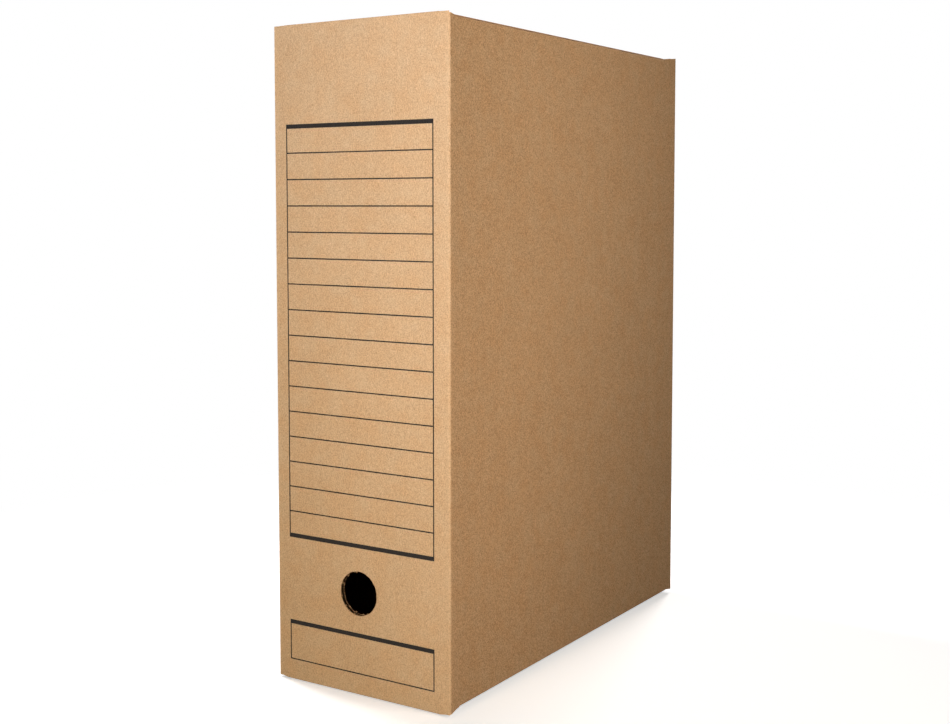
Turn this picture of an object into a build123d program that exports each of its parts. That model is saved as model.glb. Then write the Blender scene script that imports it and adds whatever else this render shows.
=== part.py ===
from build123d import *
import os
from math import atan2, cos, degrees, hypot, radians, sin, tan

# Upright archive box, folded from one die-cut sheet of single-wall corrugated board.
# Millimetres. X runs across the spine, Y from the spine to the back and Z up.
# The origin is the middle of the face that the box stands on.
# Each panel between two creases is a lamination of an outer liner, a fluting and an inner liner.

# Outside of the set-up box
box_width = 118.0
box_depth = 277.0
box_height = 369.0

# Board: the fluting's height counts its own paper
liner = 0.3
medium = 0.3
flute_height = 2.4
flute_pitch = 6.5
crest_share = 0.24  # flat crest of a flute, as a share of its pitch
board = flute_height + 2 * liner

# Folds: outside radius of the outer liner at a crease, and the usual quarter turn
fold_radius = 1.2
square_turn = 90.0

# Fits between pieces that lie against each other without glue
fit_gap = 0.3
tuck_gap = 1.0

# Side walls stop short of the spine's top and foot, and the back wall of its foot
side_drop = 2.0
back_rise = 2.2

# Lid and base are narrower than the spine
lid_inset = 7.5
tuck_depth = 28.0
tuck_lean = 6.0
tuck_corner = 5.0
base_tuck_depth = 32.0

# Cut corners of the spine beside the creases of lid and base, and of the side walls next to them
corner_start = 0.3
spine_top_drop = 0.4
spine_foot_rise = 1.0
side_top_drop = 1.2
side_foot_rise = 1.4
side_foot_slant = 7.0
heel_slant = 5.0

# Dust flaps under the lid and flaps on the base, folded in from the side walls
flap_front = 5.0
base_flap_front = 8.5
flap_rear = 19.0
flap_middle_gap = 12.0
flap_front_cut = 24.0
flap_rear_cut = 8.0

# Seam: a tab on the back wall, glued inside the left wall
tab_width = 30.0
tab_margin = 12.0
tab_cut = 6.0

# Finger hole in the spine, where the fluting is torn back between the liners
hole_radius = 12.4
hole_offset = -1.5
hole_height = 56.9
hole_recess = 1.6

# Cuts run this far past what they cut
overrun = 1.0

# Edges and levels that several panels share
front = -box_depth / 2
rear = box_depth / 2
right = box_width / 2
side_foot = board
side_top = box_height - side_drop
lid_underside = box_height - board
lid_half = right - lid_inset
lid_rear = rear - board - tuck_gap
base_rear = rear - board
flap_reach = (box_width - flap_middle_gap) / 2

# The dust flaps droop so far that they pass under the lid's edge with the fit gap
flap_droop = degrees(atan2(board + fit_gap - side_drop, lid_inset))
flap_turn = square_turn + flap_droop
tuck_turn = square_turn + tuck_lean

up = (0, 0, 1)
down = (0, 0, -1)


def setback(depth, turn):
    """How far a ply at this depth stops short of the sharp corner of a fold of this turn."""
    return depth * tan(radians(turn) / 2)


def margins(folds, depth):
    """Strips of a blank along its folds, where a ply at this depth has to stop."""
    strips = []
    for (u0, v0), (u1, v1), turn in folds:
        length = hypot(u1 - u0, v1 - v0)
        inward_u = (v0 - v1) / length * setback(depth, turn)
        inward_v = (u1 - u0) / length * setback(depth, turn)
        corners = [(u0, v0), (u1, v1), (u1 + inward_u, v1 + inward_v), (u0 + inward_u, v0 + inward_v)]
        strips.append(make_face(Polyline(*corners, close=True)))
    return strips


def half_fold(start, end, turn):
    """Outer liner turned through half of a fold: the liner's edge, revolved about the crease."""
    (u0, v0), (u1, v1) = start, end
    length = hypot(u1 - u0, v1 - v0)
    inward_u = (v0 - v1) / length * setback(fold_radius, turn)
    inward_v = (u1 - u0) / length * setback(fold_radius, turn)
    near = (u0 + inward_u, v0 + inward_v)
    far = (u1 + inward_u, v1 + inward_v)
    edge = make_face(Polyline((*near, 0), (*far, 0), (*far, -liner), (*near, -liner), close=True))
    crease = Axis((*near, -fold_radius), (u1 - u0, v1 - v0, 0))
    return revolve(edge, crease, turn / 2)


def fluting(sheet):
    """Trapezoid wave along u, drawn straight along v and trimmed to the sheet's outline."""
    extent = sheet.bounding_box()
    waves = max(1, round(extent.size.X / flute_pitch))
    pitch = extent.size.X / waves
    crest = pitch * crest_share
    flank = pitch / 2 - crest
    high = -liner
    low = -liner - flute_height + medium
    begin = extent.min.Y - overrun
    line = []
    for wave in range(-1, waves + 1):
        foot = extent.min.X + wave * pitch + crest / 2
        head = foot + flank
        line += [(foot, low), (head, high), (head + crest, high), (head + crest + flank, low)]
    upper = [(u, begin, w) for u, w in line]
    lower = [(u, begin, w - medium) for u, w in reversed(line)]
    profile = make_face(Polyline(*upper, *lower, close=True))
    ridges = extrude(profile, amount=extent.size.Y + 2 * overrun, dir=(0, 1, 0))
    return ridges & extrude(sheet, amount=board, dir=down)


def plies(outline, folds, hole=None, torn=None):
    """Outer liner, fluting and inner liner of one panel, lying flat with its outer face at w = 0.

    The outline runs anticlockwise in u and v, up to the sharp corners of the folds. Each fold is
    (start, end, turn), a stretch of the outline and the angle that the board turns there. The hole
    goes through all plies, and the fluting is torn back from it.
    """
    blank = make_face(Polyline(*outline, close=True))
    if hole is not None:
        blank -= hole
    outer_sheet = blank
    inner_sheet = blank
    for strip in margins(folds, fold_radius):
        outer_sheet -= strip
    for strip in margins(folds, board):
        inner_sheet -= strip
    outer = extrude(outer_sheet, amount=liner, dir=down)
    for start, end, turn in folds:
        outer += half_fold(start, end, turn)
    inner = Pos(0, 0, liner - board) * extrude(inner_sheet, amount=liner, dir=down)
    flute_sheet = inner_sheet if torn is None else inner_sheet - torn
    return {"outer_liner": outer, "fluting": fluting(flute_sheet), "inner_liner": inner}


def placed(place, panel):
    """The plies of a flat panel, set up in the box on the plane of its outer face."""
    return {ply: place * solid for ply, solid in panel.items()}


def mirrored(panel):
    """The plies of a panel on the right, turned over to the left."""
    return {ply: mirror(solid, about=Plane.YZ) for ply, solid in panel.items()}


def spine():
    """Narrow front, creased on all four edges, with cut corners and a finger hole."""
    slot = lid_half + fit_gap
    corner = right - board
    low = spine_foot_rise
    high = box_height - spine_top_drop
    start = box_height - corner_start
    outline = [
        (-slot, 0), (slot, 0), (slot, corner_start), (corner, low), (right, low),
        (right, high), (corner, high), (slot, start), (slot, box_height), (-slot, box_height),
        (-slot, start), (-corner, high), (-right, high), (-right, low), (-corner, low), (-slot, corner_start),
    ]
    folds = [
        ((-slot, 0), (slot, 0), square_turn),
        ((right, low), (right, high), square_turn),
        ((slot, box_height), (-slot, box_height), square_turn),
        ((-right, high), (-right, low), square_turn),
    ]
    place = Pos(hole_offset, hole_height)
    hole = place * Circle(hole_radius)
    torn = place * Circle(hole_radius + hole_recess)
    return placed(Plane((0, front, 0), (1, 0, 0), (0, -1, 0)), plies(outline, folds, hole, torn))


def side(rear_is_folded):
    """Wide wall on the right: flap creases at top and foot, with slanted cuts from their ends."""
    flap_start = front + flap_front
    flap_end = rear - flap_rear
    base_start = front + base_flap_front
    base_end = rear - 2 * board - fit_gap
    bend = front + fold_radius
    heel = rear - fold_radius
    low = side_foot_rise
    high = box_height - side_top_drop
    outline = [
        (front, low), (bend, low), (front + side_foot_slant, side_foot), (rear - heel_slant, side_foot),
        (heel, back_rise), (rear, back_rise), (rear, box_height), (heel, box_height),
        (flap_end, side_top), (flap_start, side_top), (bend, high), (front, high),
    ]
    folds = [
        ((base_start, side_foot), (base_end, side_foot), square_turn),
        ((flap_end, side_top), (flap_start, side_top), flap_turn),
        ((front, high), (front, low), square_turn),
    ]
    if rear_is_folded:
        folds.append(((rear, back_rise), (rear, box_height), square_turn))
    return placed(Plane((right, 0, 0), (0, 1, 0), (1, 0, 0)), plies(outline, folds))


def back():
    """Narrow rear wall with cut top and foot, creased to the right wall and to the glue tab."""
    seam = right - board
    outline = [(-right, back_rise), (seam, back_rise), (seam, box_height), (-right, box_height)]
    folds = [
        ((seam, back_rise), (seam, box_height), square_turn),
        ((-right, box_height), (-right, back_rise), square_turn),
    ]
    return placed(Plane((0, rear, 0), (-1, 0, 0), (0, 1, 0)), plies(outline, folds))


def glue_tab():
    """Seam tab with slanted ends, flat against the inside of the left wall."""
    low = side_foot + board + tab_margin
    high = lid_underside - tab_margin
    outline = [(0, low), (tab_width, low + tab_cut), (tab_width, high - tab_cut), (0, high)]
    folds = [((0, high), (0, low), square_turn)]
    return placed(Plane((board - right, rear, 0), (0, -1, 0), (-1, 0, 0)), plies(outline, folds))


def cover(length, rear_turn):
    """Lid or base, creased to the spine and to its tuck."""
    outline = [(-lid_half, 0), (lid_half, 0), (lid_half, length), (-lid_half, length)]
    folds = [
        ((-lid_half, 0), (lid_half, 0), square_turn),
        ((lid_half, length), (-lid_half, length), rear_turn),
    ]
    return plies(outline, folds)


def tuck(depth, turn):
    """Flap on the rear crease of the lid or base, with its free corners cut off."""
    outline = [
        (-lid_half, 0), (lid_half, 0), (lid_half, depth - tuck_corner),
        (lid_half - tuck_corner, depth), (tuck_corner - lid_half, depth), (-lid_half, depth - tuck_corner),
    ]
    return plies(outline, [((-lid_half, 0), (lid_half, 0), turn)])


def lid():
    return placed(Plane((0, front, box_height), (1, 0, 0), up), cover(lid_rear - front, tuck_turn))


def lid_tuck():
    """Leans forward off the back wall, so that it clears the wall as the lid swings."""
    lean = radians(tuck_lean)
    outward = (0, cos(lean), -sin(lean))
    return placed(Plane((0, lid_rear, box_height), (1, 0, 0), outward), tuck(tuck_depth, tuck_turn))


def base():
    return placed(Plane((0, front, 0), (-1, 0, 0), down), cover(base_rear - front, square_turn))


def base_tuck():
    """Turned up and glued flat against the inside of the back wall."""
    return placed(Plane((0, base_rear, 0), (-1, 0, 0), (0, 1, 0)), tuck(base_tuck_depth, square_turn))


def dust_flap():
    """Right-hand flap under the lid, its front corner cut away so that it lifts clear of the lid."""
    start = front + flap_front + fit_gap
    end = rear - flap_rear - fit_gap
    outline = [(start, 0), (end, 0), (end - flap_rear_cut, flap_reach), (start + flap_front_cut, flap_reach)]
    droop = radians(flap_droop)
    outward = (-sin(droop), 0, cos(droop))
    place = Plane((right, 0, side_top), (0, 1, 0), outward)
    return placed(place, plies(outline, [((start, 0), (end, 0), flap_turn)]))


def base_flap():
    """Right-hand flap on the base, glued down."""
    start = -(rear - 2 * board - fit_gap)
    end = -(front + base_flap_front)
    outline = [(start, 0), (end, 0), (end - flap_rear_cut, flap_reach), (start + flap_rear_cut, flap_reach)]
    place = Plane((right, 0, side_foot), (0, -1, 0), down)
    return placed(place, plies(outline, [((start, 0), (end, 0), square_turn)]))


panels = {
    "spine": spine(),
    "right_side": side(rear_is_folded=True),
    "left_side": mirrored(side(rear_is_folded=False)),
    "back": back(),
    "glue_tab": glue_tab(),
    "lid": lid(),
    "lid_tuck": lid_tuck(),
    "right_dust_flap": dust_flap(),
    "left_dust_flap": mirrored(dust_flap()),
    "base": base(),
    "base_tuck": base_tuck(),
    "right_base_flap": base_flap(),
    "left_base_flap": mirrored(base_flap()),
}

os.makedirs("parts", exist_ok=True)
for panel_name, panel in panels.items():
    for ply_name, solid in panel.items():
        export_step(solid, f"parts/{panel_name}_{ply_name}.step")
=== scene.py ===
import math

import bpy
import numpy as np
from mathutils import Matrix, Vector


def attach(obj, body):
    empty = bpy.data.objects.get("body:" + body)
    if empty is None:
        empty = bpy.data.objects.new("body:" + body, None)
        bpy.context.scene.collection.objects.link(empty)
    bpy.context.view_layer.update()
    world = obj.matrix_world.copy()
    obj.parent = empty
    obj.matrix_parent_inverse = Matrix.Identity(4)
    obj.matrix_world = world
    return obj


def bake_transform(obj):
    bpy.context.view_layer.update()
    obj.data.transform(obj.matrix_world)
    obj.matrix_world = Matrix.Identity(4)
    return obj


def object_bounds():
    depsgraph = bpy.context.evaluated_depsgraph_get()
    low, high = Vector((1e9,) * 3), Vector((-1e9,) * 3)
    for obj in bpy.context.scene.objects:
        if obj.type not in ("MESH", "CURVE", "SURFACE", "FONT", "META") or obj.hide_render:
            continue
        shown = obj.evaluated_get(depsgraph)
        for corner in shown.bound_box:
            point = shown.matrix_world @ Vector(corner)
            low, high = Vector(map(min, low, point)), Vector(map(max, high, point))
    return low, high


# Looks of an upright archive box folded from corrugated kraft board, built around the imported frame.
# Metres, in the frame of the CAD: X across the spine, Y from the spine to the back, Z up.
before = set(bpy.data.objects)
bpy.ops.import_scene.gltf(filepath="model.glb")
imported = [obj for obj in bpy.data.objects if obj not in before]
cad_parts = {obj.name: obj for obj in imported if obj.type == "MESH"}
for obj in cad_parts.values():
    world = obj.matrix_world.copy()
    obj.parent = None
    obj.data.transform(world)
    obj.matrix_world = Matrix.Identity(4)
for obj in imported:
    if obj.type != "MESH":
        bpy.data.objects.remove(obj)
cad_low, cad_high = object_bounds()

# Shapes are worked out in millimetres, from the outer size that the frame gives
MM = 0.001
HALF_WIDTH = cad_high.x / MM
FRONT, REAR = cad_low.y / MM, cad_high.y / MM
TOP = cad_high.z / MM
LINER, BOARD = 0.3, 3.0
FLUTE_PITCH = 6.5
FOLD_RADIUS = 1.2
HOLE_ACROSS, HOLE_UP, HOLE_RADIUS = -1.5, 56.9, 12.4


def linear(code):
    """sRGB hex code to linear RGBA, by the sRGB curve."""
    srgb = np.array([int(code[i:i + 2], 16) for i in (1, 3, 5)]) / 255
    rgb = np.where(srgb <= 0.04045, srgb / 12.92, ((srgb + 0.055) / 1.055) ** 2.4)
    return (*rgb.tolist(), 1.0)


def node(tree, kind, inputs=None, **settings):
    """Adds one node with its settings. An input is a constant, or another node's output to link."""
    made = tree.nodes.new(kind)
    for key, value in settings.items():
        setattr(made, key, value)
    for key, value in (inputs or {}).items():
        if isinstance(value, bpy.types.NodeSocket):
            tree.links.new(value, made.inputs[key])
        else:
            made.inputs[key].default_value = value
    return made


def new_material(name):
    """An empty node material: its tree, its principled shader and its object coordinates."""
    material = bpy.data.materials.new(name)
    material.use_nodes = True
    tree = material.node_tree
    tree.nodes.clear()
    shader = node(tree, "ShaderNodeBsdfPrincipled")
    node(tree, "ShaderNodeOutputMaterial", {"Surface": shader.outputs[0]})
    place = node(tree, "ShaderNodeTexCoord").outputs["Object"]
    return material, tree, shader, place


def recycled_liner(name, pale, middle, dark, across, half_span, washboard, roll, flock):
    """Liner paper made on a paper machine from recycled fibre, matt and unbleached.

    The eye sees flocs of fibre about a millimetre wide, short fibres, slow clouds of tone and hue, and
    scattered dark and pale specks. The flutes behind it show as a faint washboard in its relief, with a
    faint painted shade of the flutes in its tone. It rolls in at the creases, and is painted a little paler
    there: partly rubbed wear, partly a painted highlight of the roll.
    """
    material, tree, shader, place = new_material(name)
    axis = node(tree, "ShaderNodeSeparateXYZ", {0: place}).outputs[across]

    # Cloudy formation of the sheet, 25 mm across, and flocs of fibre of 0.7 mm
    clouds = node(tree, "ShaderNodeTexNoise", {"Vector": place, "Scale": 1 / (25 * MM), "Detail": 2.0})
    flocs = node(tree, "ShaderNodeTexNoise",
                 {"Vector": place, "Scale": 1 / (0.7 * MM), "Detail": 2.0, "Roughness": 0.5})
    # Fibres are 0.03 mm thick and too fine to show: drawn 0.4 mm wide and 1.6 mm long, lying two ways
    fibres = []
    for turn in ((0.5, 0.35, 0.9), (-0.6, 0.8, -0.4)):
        laid = node(tree, "ShaderNodeMapping", {"Vector": place, "Rotation": turn, "Scale": (1, 1, 0.25)})
        fibres.append(node(tree, "ShaderNodeTexNoise",
                           {"Vector": laid.outputs[0], "Scale": 1 / (0.4 * MM), "Detail": 1.0}).outputs[0])
    crossed = node(tree, "ShaderNodeMath", {0: fibres[0], 1: fibres[1]}, operation="ADD")

    # Washboard: one sine wave to each flute. Roll: a parabola over the last 6 mm before a crease
    phase = node(tree, "ShaderNodeMath", {0: axis, 1: 2 * math.pi / (FLUTE_PITCH * MM)}, operation="MULTIPLY")
    wave = node(tree, "ShaderNodeMath", {0: phase.outputs[0]}, operation="SINE")
    outward = node(tree, "ShaderNodeMath", {0: axis}, operation="ABSOLUTE")
    roll_width = 6.0
    rolled = node(tree, "ShaderNodeMapRange",
                  {"Value": outward.outputs[0], "From Min": (half_span - roll_width) * MM,
                   "From Max": half_span * MM})
    parabola = node(tree, "ShaderNodeMath", {0: rolled.outputs[0], 1: 2.0}, operation="POWER")

    # Tone: weighted sum of the patterns about a middle of 0.5, laid on a ramp of three paper colours
    # The washboard weight paints a faint shade of the flutes into the tone, on top of the washboard relief
    crossing, cloud, washboard_painted_shade, crease_highlight_and_wear = 0.35, 0.1, 0.006, 0.06
    start = 0.5 - 0.5 * flock - crossing - 0.5 * cloud
    tone = node(tree, "ShaderNodeMath", {0: flocs.outputs[0], 1: flock, 2: start}, operation="MULTIPLY_ADD")
    # The crease weight paints the sheet paler over the last 6 mm before a crease: partly rubbed wear, partly a
    # painted highlight of the roll
    for pattern, weight in ((crossed, crossing), (clouds, cloud), (wave, washboard_painted_shade), (parabola, crease_highlight_and_wear)):
        tone = node(tree, "ShaderNodeMath", {0: pattern.outputs[0], 1: weight, 2: tone.outputs[0]},
                    operation="MULTIPLY_ADD")
    ramp = node(tree, "ShaderNodeValToRGB", {0: tone.outputs[0]})
    stops = ramp.color_ramp.elements
    stops[0].position, stops[0].color = 0.15, linear(dark)
    stops[1].position, stops[1].color = 0.85, linear(pale)
    centre = stops.new(0.5)
    centre.color = linear(middle)

    # Redder and yellower patches 9 mm wide, as recycled stock has. Inputs 6 and 7 are a mix's two colours
    patches = node(tree, "ShaderNodeTexNoise", {"Vector": place, "Scale": 1 / (9 * MM), "Detail": 2.0})
    warm = node(tree, "ShaderNodeMapRange", {"Value": patches.outputs[0], "From Min": 0.3, "From Max": 0.7})
    tinted = node(tree, "ShaderNodeMix", {0: warm.outputs[0], 6: ramp.outputs[0], 7: linear("#FFF8F0")},
                  data_type="RGBA", blend_type="MULTIPLY")
    colour = tinted.outputs[2]

    # Specks of bark and of bleached fibre, up to 1.3 mm wide, in about half the cells of two nets
    cover = 0.6
    for cell, share, reach, tint in ((4.0, 0.45, 0.15, dark), (4.5, 0.5, 0.14, pale)):
        net = node(tree, "ShaderNodeTexVoronoi", {"Vector": place, "Scale": 1 / (cell * MM)})
        near = node(tree, "ShaderNodeMapRange",
                    {"Value": net.outputs["Distance"], "From Min": reach, "From Max": 0.5 * reach,
                     "To Min": 0.0, "To Max": cover})
        chance = node(tree, "ShaderNodeSeparateColor", {0: net.outputs["Color"]})
        chosen = node(tree, "ShaderNodeMath", {0: chance.outputs[0], 1: share}, operation="LESS_THAN")
        speck = node(tree, "ShaderNodeMath", {0: near.outputs[0], 1: chosen.outputs[0]}, operation="MULTIPLY")
        mixed = node(tree, "ShaderNodeMix", {0: speck.outputs[0], 6: colour, 7: linear(tint)},
                     data_type="RGBA")
        colour = mixed.outputs[2]
    tree.links.new(colour, shader.inputs["Base Color"])

    # Relief in millimetres: felt of the flocs and fibres, the washboard, and the roll to the creases
    felt, fibre_felt = 0.012, 0.008
    height = node(tree, "ShaderNodeMath", {0: flocs.outputs[0], 1: felt}, operation="MULTIPLY")
    for pattern, depth in ((crossed, fibre_felt), (wave, washboard), (parabola, -roll)):
        height = node(tree, "ShaderNodeMath", {0: pattern.outputs[0], 1: depth, 2: height.outputs[0]},
                      operation="MULTIPLY_ADD")
    bump = node(tree, "ShaderNodeBump", {"Height": height.outputs[0], "Strength": 1.0, "Distance": MM})
    tree.links.new(bump.outputs[0], shader.inputs["Normal"])
    shader.inputs["Roughness"].default_value = 0.88
    shader.inputs["Specular IOR Level"].default_value = 0.25
    return material


def fluting_paper(name, pale, dark):
    """Fluting medium: coarse recycled paper, steamed and pressed between corrugating rolls, dull brown."""
    material, tree, shader, place = new_material(name)
    flocs = node(tree, "ShaderNodeTexNoise",
                 {"Vector": place, "Scale": 1 / (1.2 * MM), "Detail": 3.0, "Roughness": 0.65})
    ramp = node(tree, "ShaderNodeValToRGB", {0: flocs.outputs[0]})
    stops = ramp.color_ramp.elements
    stops[0].position, stops[0].color = 0.3, linear(dark)
    stops[1].position, stops[1].color = 0.7, linear(pale)
    tree.links.new(ramp.outputs[0], shader.inputs["Base Color"])
    bump = node(tree, "ShaderNodeBump", {"Height": flocs.outputs[0], "Strength": 1.0, "Distance": 0.03 * MM})
    tree.links.new(bump.outputs[0], shader.inputs["Normal"])
    shader.inputs["Roughness"].default_value = 0.92
    shader.inputs["Specular IOR Level"].default_value = 0.2
    return material


def flexo_ink(name, full, thin):
    """Water-based flexographic ink on rough liner: matt near-black, thinner where fibres stand up."""
    material, tree, shader, place = new_material(name)
    mottle = node(tree, "ShaderNodeTexNoise",
                  {"Vector": place, "Scale": 1 / (0.8 * MM), "Detail": 3.0, "Roughness": 0.7})
    ramp = node(tree, "ShaderNodeValToRGB", {0: mottle.outputs[0]})
    stops = ramp.color_ramp.elements
    stops[0].position, stops[0].color = 0.45, linear(full)
    stops[1].position, stops[1].color = 0.8, linear(thin)
    tree.links.new(ramp.outputs[0], shader.inputs["Base Color"])
    bump = node(tree, "ShaderNodeBump", {"Height": mottle.outputs[0], "Strength": 1.0, "Distance": 0.02 * MM})
    tree.links.new(bump.outputs[0], shader.inputs["Normal"])
    shader.inputs["Roughness"].default_value = 0.8
    shader.inputs["Specular IOR Level"].default_value = 0.2
    return material


def piece(name, points, faces, material):
    """A mesh piece from points in millimetres and quads, with the faces turned outwards.

    The sign of the volume, a sixth of the sum of a . (b x c) over the triangles, tells inside from out.
    """
    points = np.asarray(points, float).reshape(-1, 3) * MM
    faces = np.asarray(faces, int)
    used, faces = np.unique(faces, return_inverse=True)
    points, faces = points[used], faces.reshape(-1, 4)
    triangles = points[np.concatenate([faces[:, [0, 1, 2]], faces[:, [0, 2, 3]]])]
    volume = np.einsum("ij,ij->", triangles[:, 0], np.cross(triangles[:, 1], triangles[:, 2]))
    if volume < 0:
        faces = faces[:, ::-1]
    mesh = bpy.data.meshes.new(name)
    mesh.from_pydata(points.tolist(), [], faces.tolist())
    mesh.materials.append(material)
    made = bpy.data.objects.new(name, mesh)
    bpy.context.scene.collection.objects.link(made)
    return made


def slab_faces(rows, columns):
    """Quads of a closed sheet between two grids of points: both faces, and a rim round their edge."""
    count = rows * columns
    index = np.arange(count).reshape(rows, columns)
    quads = np.stack([index[:-1, :-1], index[1:, :-1], index[1:, 1:], index[:-1, 1:]], -1).reshape(-1, 4)
    rim = np.concatenate([index[:-1, 0], index[-1, :-1], index[:0:-1, -1], index[0, :0:-1]])
    ahead = np.roll(rim, -1)
    walls = np.stack([rim, ahead, ahead + count, rim + count], -1)
    return np.concatenate([quads[:, ::-1], quads + count, walls])


def ring_faces(rows, columns):
    """Quads of a profile of some columns, carried round in rows and closed both ways."""
    index = np.arange(rows * columns).reshape(rows, columns)
    below, beside = np.roll(index, -1, 0), np.roll(index, -1, 1)
    return np.stack([index, below, np.roll(below, -1, 1), beside], -1).reshape(-1, 4)


def inked_cells(across, up, inked, face, film):
    """A film of ink on the cells of a net of lines: across by up, inked where the array says so.

    Each inked cell gets a quad on the film's front and back, and a wall to each bare neighbour.
    """
    grid = np.stack(np.meshgrid(across, up, indexing="ij"), -1)
    depth = np.full(grid.shape[:2] + (1,), face)
    back = np.concatenate([grid[..., :1], depth, grid[..., 1:]], -1)
    points = np.concatenate([back.reshape(-1, 3), (back - [0, film, 0]).reshape(-1, 3)])
    index = np.arange(grid.shape[0] * grid.shape[1]).reshape(grid.shape[:2])
    count = index.size
    corner = [index[:-1, :-1], index[1:, :-1], index[1:, 1:], index[:-1, 1:]]
    quads = np.stack(corner, -1)[inked]
    padded = np.pad(inked, 1)
    walls = []
    for side, (step_x, step_z) in enumerate(((0, -1), (1, 0), (0, 1), (-1, 0))):
        beside = padded[1 + step_x:1 + step_x + inked.shape[0], 1 + step_z:1 + step_z + inked.shape[1]]
        edge = inked & ~beside
        first, second = corner[side][edge], corner[(side + 1) % 4][edge]
        walls.append(np.stack([first, first + count, second + count, second], -1))
    return points, np.concatenate([quads[:, ::-1], quads + count, *walls])


def ruled_print(material):
    """Label ruling on the spine: a panel of two bars and fifteen lines between uprights, and a small box.

    Row k of the panel, counted from its top bar, lies at 313.0 - 14.66 k + 0.0186 k k, so the rows draw a
    little closer downwards. The small box lies below the finger hole and has a bar at its top.
    """
    left, right, thin, bar, film = -50.4, 48.9, 0.7, 2.4, 0.03
    panel_top, pitch, closing, panel_foot = 313.0, 14.66, 0.0186, 83.4
    box_top, box_foot = 33.55, 12.1
    rows = [(box_foot, thin), (box_top, bar), (panel_foot, bar)]
    rows += [(panel_top - pitch * k + closing * k * k, thin) for k in range(15, 0, -1)]
    rows += [(panel_top, bar)]
    up = np.array([(place - weight / 2, place + weight / 2) for place, weight in rows]).ravel()
    # Cells alternate upwards: a printed row, then the space above it, where only the uprights are inked.
    # The gap between the small box and the panel is bare
    inked = np.ones((3, len(up) - 1), bool)
    bare_gap = 3
    inked[1, 1::2] = False
    inked[:, bare_gap] = False
    across = np.array([left, left + thin, right - thin, right])
    points, faces = inked_cells(across, up, inked, FRONT, film)
    return piece("ruled_print", points, faces, material)


def torn_rim(name, depths, waves, longest, material):
    """Flags of torn paper that the punch leaves in the finger hole: a ring of uneven reach at its edge.

    Towards the middle it reaches 0.02 mm, or where the mean of three sine waves round the hole is over
    0.2, that much further in shares of the longest flag.
    """
    clear, least, threshold, taper = 0.02, 0.02, 0.2, 0.05
    radius = HOLE_RADIUS - clear
    angle = np.linspace(0, 2 * math.pi, 400, endpoint=False)
    height = sum(np.sin(count * angle + phase) for count, phase in waves) / len(waves)
    inner = radius - least - longest * np.clip(height - threshold, 0, None)
    outer = np.full_like(inner, radius)
    spread = np.stack([outer, inner, inner, outer], 1)
    near, far = depths
    depth = np.broadcast_to(FRONT + np.array([near, near + taper, far - taper, far]), spread.shape)
    points = np.stack([HOLE_ACROSS + spread * np.cos(angle)[:, None], depth,
                       HOLE_UP + spread * np.sin(angle)[:, None]], -1)
    return piece(name, points, ring_faces(*spread.shape), material)


def crease_core(name, corner, along_a, along_b, line, reach, ripple, material):
    """Crushed board inside a crease, between the outer liner's bend and the ends of the other plies.

    The crease runs along the line through the sharp outer corner, and the two panels leave it along a
    and b. Across it, an outer rail follows the liner's inner face, straight, round the bend and straight
    again. An inner rail cuts off the inside corner, and waves once to each flute. Both are carried along
    the crease. Also returns two points, before and after the inside corner.
    """
    corner, a, b, line = (np.asarray(v, float) for v in (corner, along_a, along_b, line))
    turn = math.pi - math.acos(a @ b)
    inward_a = (b - (a @ b) * a) / math.sin(turn)
    inward_b = (a - (a @ b) * b) / math.sin(turn)
    clear, cut, half_zone, steps_to_flute = 0.05, 0.5, 0.3, 6
    under = LINER + clear
    end = BOARD * math.tan(turn / 2) - clear
    bend = FOLD_RADIUS * math.tan(turn / 2)
    run = np.linspace(end, bend, 5)[:-1, None]
    sweep = np.linspace(0, turn, 9)[:, None]
    arc = (bend * a + FOLD_RADIUS * inward_a
           - (FOLD_RADIUS - under) * (inward_a * np.cos(sweep) + a * np.sin(sweep)))
    outer = np.concatenate([run * a + under * inward_a, arc, run[::-1] * b + under * inward_b])
    share = np.linspace(0, 1, len(outer))[:, None]
    inner_a = end * a + (BOARD - cut) * inward_a
    inner_b = end * b + (BOARD - cut) * inward_b
    inner = inner_a * (1 - share) + inner_b * share
    steps = np.linspace(*reach, max(2, round((reach[1] - reach[0]) / (FLUTE_PITCH / steps_to_flute))))
    sink = ripple * (0.5 + 0.5 * np.cos(2 * math.pi * steps / FLUTE_PITCH))
    middle = (a + b) / np.linalg.norm(a + b)
    track = corner + steps[:, None, None] * line
    points = np.stack([track + outer, track + inner - sink[:, None, None] * middle])
    made = piece(name, points, slab_faces(len(steps), len(outer)), material)
    inside = corner + (inner_a + inner_b) / 2
    across = (b - a) / np.linalg.norm(b - a)
    return made, tuple((inside - half_zone * across) * MM), tuple((inside + half_zone * across) * MM)


# Pale, middle and dark fibre of the two liners. Washboard and roll are depths in millimetres
KRAFT_LINER = ("#E3BC93", "#CBA47B", "#A88158")
INNER_LINER = ("#D4AB82", "#BC936A", "#9B7249")
kraft_across_x = recycled_liner("recycled_kraft_liner_flutes_across_x", *KRAFT_LINER, across="X",
                                half_span=HALF_WIDTH, washboard=0.012, roll=0.2, flock=1.0)
kraft_across_y = recycled_liner("recycled_kraft_liner_flutes_across_y", *KRAFT_LINER, across="Y",
                                half_span=REAR, washboard=0.012, roll=0.1, flock=1.5)
inner_across_x = recycled_liner("recycled_inner_liner_flutes_across_x", *INNER_LINER, across="X",
                                half_span=HALF_WIDTH, washboard=0.02, roll=0.0, flock=1.1)
inner_across_y = recycled_liner("recycled_inner_liner_flutes_across_y", *INNER_LINER, across="Y",
                                half_span=REAR, washboard=0.02, roll=0.0, flock=1.1)
fluting = fluting_paper("recycled_fluting_medium", "#B48A62", "#8F6945")
ink = flexo_ink("black_flexo_ink", "#1D1815", "#352C24")

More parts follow.
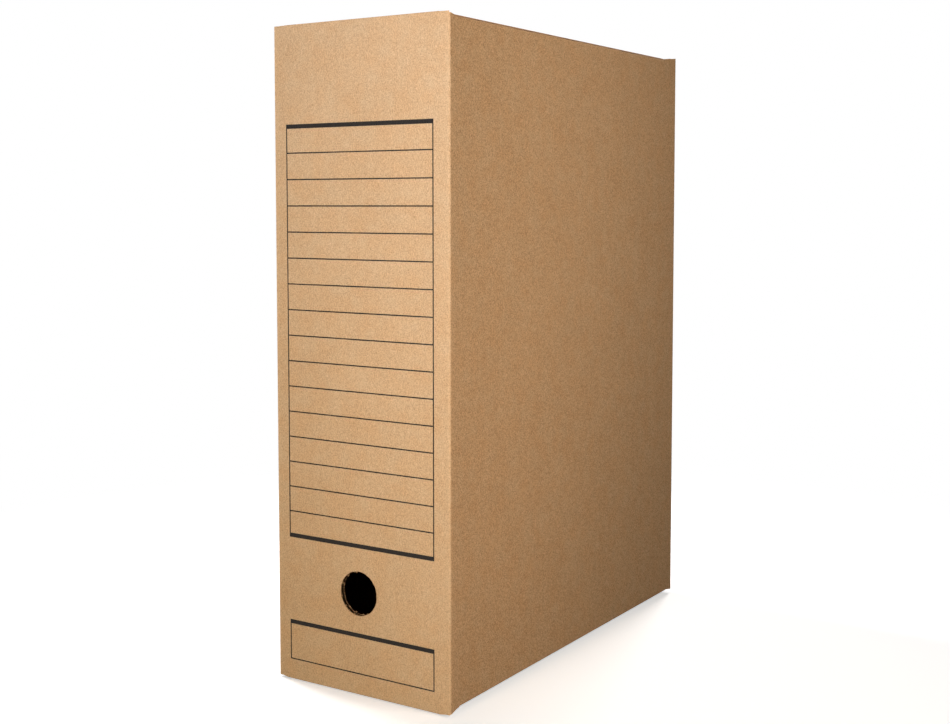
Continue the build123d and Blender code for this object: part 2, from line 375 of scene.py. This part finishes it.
# Flutes run upright in the walls, so the panels that fold on from the side walls repeat along Y
ALONG_Y = ("right_side", "left_side", "glue_tab", "right_dust_flap", "left_dust_flap",
           "right_base_flap", "left_base_flap")
for name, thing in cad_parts.items():
    turned = name.startswith(ALONG_Y)
    if name.endswith("outer_liner"):
        paper = kraft_across_y if turned else kraft_across_x
    elif name.endswith("inner_liner"):
        paper = inner_across_y if turned else inner_across_x
    else:
        paper = fluting
    thing.data.materials.clear()
    thing.data.materials.append(paper)

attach(ruled_print(ink), "box")
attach(torn_rim("torn_inner_rim", (2.72, 2.98), ((13, 1.0), (29, 0.0), (47, 2.0)), 1.0, inner_across_x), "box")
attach(torn_rim("torn_fluting_rim", (0.32, 0.8), ((11, 2.0), (23, 0.5), (41, 1.0)), 1.4, fluting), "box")

# Ends of the creases. The tuck's crease lies in front of the back wall, and the tuck leans in. The dust
# flaps start 2 mm below the top and droop under the lid
lid_reach = (-51.2, 51.2)
flap_reach, base_flap_reach = (FRONT + 6.2, REAR - 19.6), (FRONT + 8.8, REAR - 6.6)
front_reach, rear_reach = (1.6, TOP - 1.4), (2.4, TOP - 0.3)
tuck_setback, tuck_lean = 4.0, math.radians(6.0)
side_drop, droop = 2.0, math.atan2(1.3, 7.5)
ribbed, plain = 0.3, 0.0
X, Y, Z = np.eye(3)
tuck_way = -math.sin(tuck_lean) * Y - math.cos(tuck_lean) * Z

# Creases: sharp outer corner, the ways in which the two panels leave it, line of the crease, its ends,
# depth of the ripple from the flutes, and the one or two bodies that it belongs to
creases = {
    "lid_crease": ((0, FRONT, TOP), -Z, Y, X, lid_reach, ribbed, ("box", "lid")),
    "tuck_crease": ((0, REAR - tuck_setback, TOP), -Y, tuck_way, X, lid_reach, ribbed, ("lid", "tuck_flap")),
    "base_crease": ((0, FRONT, 0), Z, Y, X, lid_reach, ribbed, ("box",)),
    "base_tuck_crease": ((0, REAR - BOARD, 0), -Y, Z, X, lid_reach, ribbed, ("box",)),
    "rear_right_crease": ((HALF_WIDTH, REAR, 0), -Y, -X, Z, rear_reach, plain, ("box",)),
    "seam_crease": ((BOARD - HALF_WIDTH, REAR, 0), -Y, X, Z, rear_reach, plain, ("box",)),
}
for side, sign in (("right", 1.0), ("left", -1.0)):
    flap_way = -sign * math.cos(droop) * X - math.sin(droop) * Z
    creases[side + "_dust_flap_crease"] = (
        (sign * HALF_WIDTH, 0, TOP - side_drop), -Z, flap_way, Y, flap_reach, ribbed,
        ("box", side + "_dust_flap"))
    creases[side + "_base_flap_crease"] = (
        (sign * HALF_WIDTH, 0, BOARD), Z, -sign * X, Y, base_flap_reach, ribbed, ("box",))
    creases["front_" + side + "_crease"] = (
        (sign * HALF_WIDTH, FRONT, 0), -sign * X, Y, Z, front_reach, plain, ("box",))
for name, (corner, along_a, along_b, line, reach, ripple, bodies) in creases.items():
    paper = inner_across_x if line is X else inner_across_y
    core, before, after = crease_core(name, corner, along_a, along_b, line, reach, ripple, paper)
    if len(bodies) == 2:
        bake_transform(core)
    else:
        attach(core, *bodies)


def shows_background(tree):
    """1 for rays that show the background: from the camera, in reflections and through glass."""
    light_path = node(tree, "ShaderNodeLightPath")
    direct = node(tree, "ShaderNodeMath",
                  {0: light_path.outputs["Is Camera Ray"], 1: light_path.outputs["Is Glossy Ray"]},
                  operation="MAXIMUM")
    direct = node(tree, "ShaderNodeMath",
                  {0: direct.outputs[0], 1: light_path.outputs["Is Transmission Ray"]}, operation="MAXIMUM")
    return direct.outputs[0]


def studio_floor():
    """Flat white floor, 0.2 mm below the box, as a square.

    Seen directly it fades from a lit surface near the box to plain white. To all other rays it is dark, so
    that it throws little light back at the box.
    """
    reach, sink, lit_to, white_from = 6000.0, 0.2, 0.2, 0.55
    corners = np.array([(-reach, -reach), (reach, -reach), (reach, reach), (-reach, reach)])
    points = np.concatenate([corners, np.full((4, 1), -sink)], 1) * MM
    mesh = bpy.data.meshes.new("studio_floor")
    mesh.from_pydata(points.tolist(), [], [(0, 1, 2, 3)])
    material = bpy.data.materials.new("white_paper_sweep")
    material.use_nodes = True
    tree = material.node_tree
    tree.nodes.clear()
    place = node(tree, "ShaderNodeTexCoord").outputs["Object"]
    away = node(tree, "ShaderNodeVectorMath", {0: place}, operation="LENGTH")
    fade = node(tree, "ShaderNodeMapRange",
                {"Value": away.outputs["Value"], "From Min": lit_to, "From Max": white_from},
                interpolation_type="SMOOTHSTEP")
    lit = node(tree, "ShaderNodeBsdfDiffuse", {"Color": linear("#F1F1F1")})
    lift = node(tree, "ShaderNodeEmission", {"Color": linear("#FFFFFF"), "Strength": 0.5})
    near = node(tree, "ShaderNodeAddShader", {0: lit.outputs[0], 1: lift.outputs[0]})
    white = node(tree, "ShaderNodeEmission", {"Color": linear("#FFFFFF"), "Strength": 1.0})
    seen = node(tree, "ShaderNodeMixShader", {0: fade.outputs[0], 1: near.outputs[0], 2: white.outputs[0]})
    bounce = node(tree, "ShaderNodeBsdfDiffuse", {"Color": linear("#303030")})
    shown = node(tree, "ShaderNodeMixShader",
                 {0: shows_background(tree), 1: bounce.outputs[0], 2: seen.outputs[0]})
    node(tree, "ShaderNodeOutputMaterial", {"Surface": shown.outputs[0]})
    mesh.materials.append(material)
    floor = bpy.data.objects.new("studio_floor", mesh)
    bpy.context.scene.collection.objects.link(floor)


def studio_world():
    """White to the camera and in reflections, and a weak white fill for everything else."""
    fill, white = 0.02, 1.0
    world = bpy.data.worlds.new("studio_world")
    world.use_nodes = True
    tree = world.node_tree
    tree.nodes.clear()
    strength = node(tree, "ShaderNodeMapRange",
                    {"Value": shows_background(tree), "To Min": fill, "To Max": white})
    sky = node(tree, "ShaderNodeBackground", {"Color": linear("#FFFFFF"), "Strength": strength.outputs[0]})
    node(tree, "ShaderNodeOutputWorld", {"Surface": sky.outputs[0]})
    bpy.context.scene.world = world


# Middle of the box, in metres
MIDDLE = (0, 0, 0.18)


def softbox(name, azimuth, elevation, distance, aim, spread, watts, colour):
    """A square lamp of 0.25 m, at a distance from the middle of the box and turned to the aim.

    It stands at the middle plus the distance times (sin a cos e, -cos a cos e, sin e), so azimuth 0 is in
    front of the spine and 90 at the right. The light fades out at half the spread off its axis.
    """
    lamp = bpy.data.lights.new(name, "AREA")
    lamp.shape, lamp.size, lamp.spread = "SQUARE", 0.25, math.radians(spread)
    lamp.energy, lamp.color = watts, colour
    a, e = math.radians(azimuth), math.radians(elevation)
    back = Vector((math.sin(a) * math.cos(e), -math.cos(a) * math.cos(e), math.sin(e)))
    holder = bpy.data.objects.new(name, lamp)
    holder.location = back * distance + Vector(MIDDLE)
    holder.rotation_euler = (Vector(aim) - holder.location).to_track_quat("-Z", "Y").to_euler()
    holder.visible_camera = False
    bpy.context.scene.collection.objects.link(holder)


studio_floor()
studio_world()
# The front and right lamps aim off the middle of their wall, so that the light falls off across it.
# Two plain white lamps light the back and the left
spine, wall, white = FRONT * MM, HALF_WIDTH * MM, (1.0, 1.0, 1.0)
softbox("front_cool_softbox", 2, 0, 1.6, (0.594, spine, 0.75), 71.4, 7.4, (0.982, 1.076, 1.243))
softbox("front_warm_softbox", 2, 0, 1.6, (0.038, spine, 0.068), 44.5, 0.85, (0.982, 0.941, 0.803))
softbox("right_softbox", 85.6, 25, 0.9, (wall, -0.121, 0.254), 74.5, 0.78, (1.0, 0.923, 0.815))
softbox("right_warm_softbox", 95, 10, 0.9, (wall, -0.165, 0.052), 23.0, 0.041, (1.0, 0.819, 0.621))
softbox("rear_softbox", 185, 20, 1.1, MIDDLE, 180, 8.0, white)
softbox("left_softbox", 265, 42, 1.1, MIDDLE, 180, 11.0, white)

# Camera of the photograph. The lens is shifted down a little, because the upright edges hardly converge
tilt, turn = 0.06706, 0.5722
lens = bpy.data.cameras.new("photo_camera")
lens.sensor_width, lens.lens = 36.0, 51.122
lens.shift_y = -0.07
lens.clip_start, lens.clip_end = 0.01, 50.0
camera = bpy.data.objects.new("photo_camera", lens)
camera.location = (0.44606, -0.71552, 0.26976)
camera.rotation_euler = (math.pi / 2 - tilt, 0.0, turn)
bpy.context.scene.collection.objects.link(camera)
bpy.context.scene.camera = camera
bpy.context.scene.view_settings.view_transform = "Standard"

bpy.context.view_layer.update()
